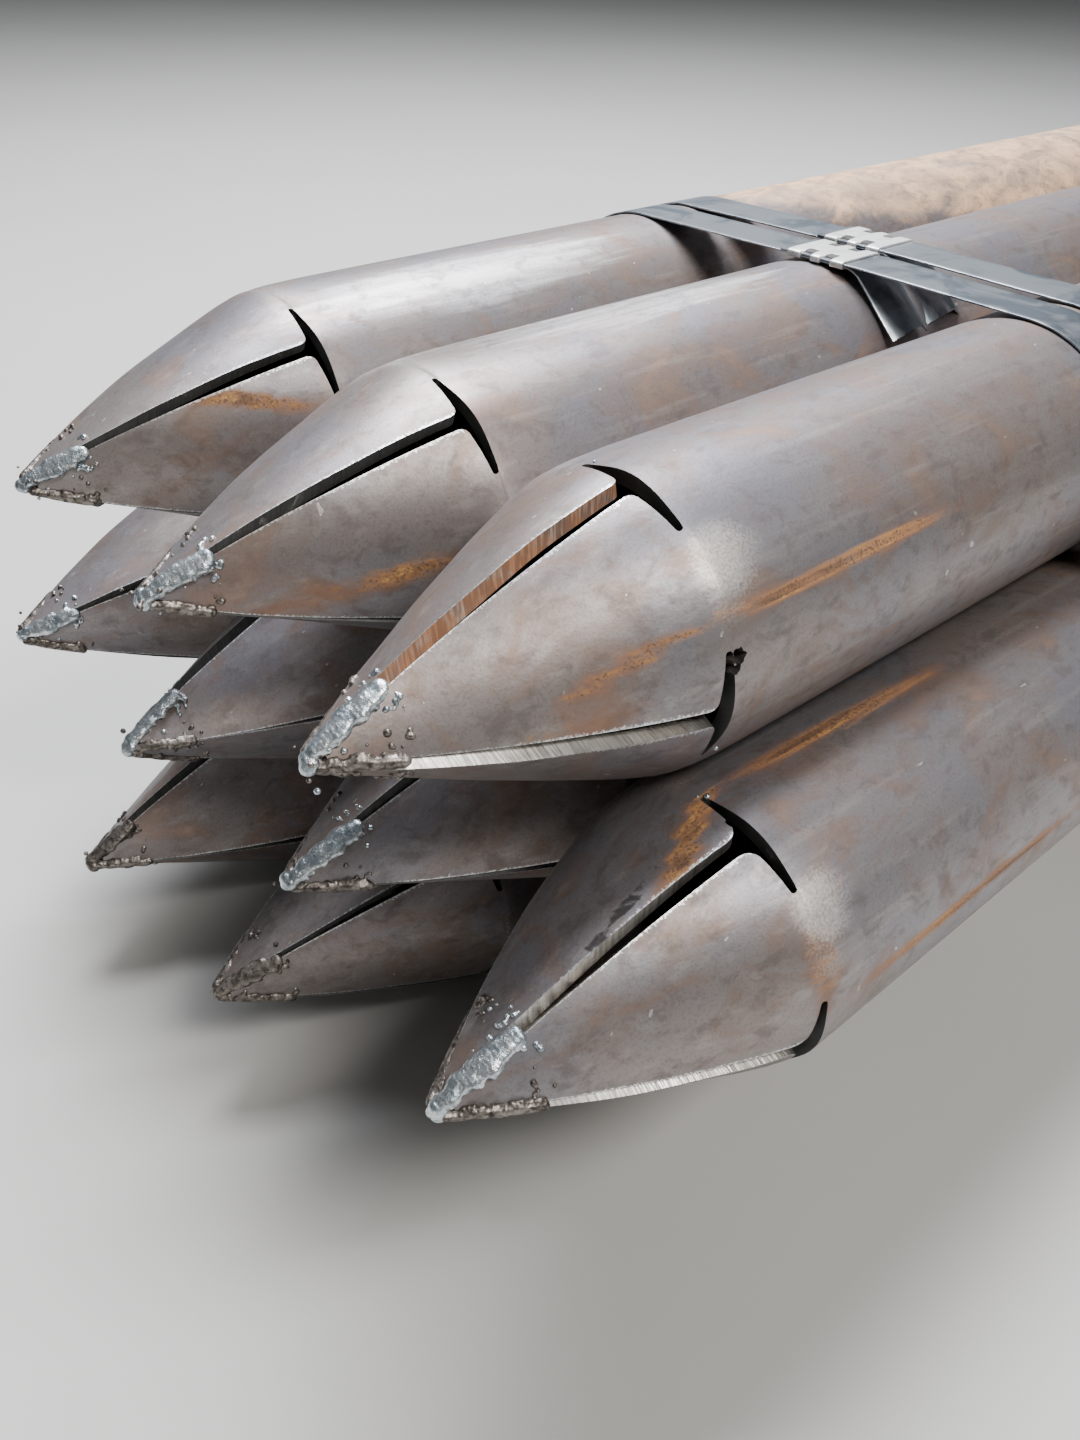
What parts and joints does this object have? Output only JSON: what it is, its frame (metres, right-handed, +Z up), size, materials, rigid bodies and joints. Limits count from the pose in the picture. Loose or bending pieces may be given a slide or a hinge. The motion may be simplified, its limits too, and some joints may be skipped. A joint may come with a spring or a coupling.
{
  "type": "bundle of pointed steel pipes",
  "caption": "Strapped bundle of steel pipes whose ends are cut into petals, bent in and welded to a point.",
  "frame": {"origin": "on the floor, under the middle of the bundle's bounding box", "axes": "+X along the pipes, away from their points; +Y to the left of someone who looks along +X; +Z up"},
  "size_m": [3.073, 0.5114, 0.3534],
  "materials": {
    "mill_scale_steel": "hot-rolled mill scale with rust streaks, semi-matt",
    "strap_steel": "blue-grey tempered strap, semi-gloss",
    "seal_steel": "bright zinc-plated sheet, crimped"
  },
  "bodies": {
    "root": {"pipe_top_left": "mill_scale_steel", "pipe_top_middle": "mill_scale_steel", "pipe_top_right": "mill_scale_steel", "pipe_middle_outer_left": "mill_scale_steel", "pipe_middle_inner_left": "mill_scale_steel", "pipe_middle_inner_right": "mill_scale_steel", "pipe_middle_outer_right": "mill_scale_steel", "pipe_bottom_left": "mill_scale_steel", "pipe_bottom_middle": "mill_scale_steel", "pipe_bottom_right": "mill_scale_steel", "strap_front_near": "strap_steel", "strap_front_far": "strap_steel", "strap_rear_near": "strap_steel", "strap_rear_far": "strap_steel", "seal_front_near": "seal_steel", "seal_front_far": "seal_steel", "seal_rear_near": "seal_steel", "seal_rear_far": "seal_steel"}
  },
  "joints": []
}
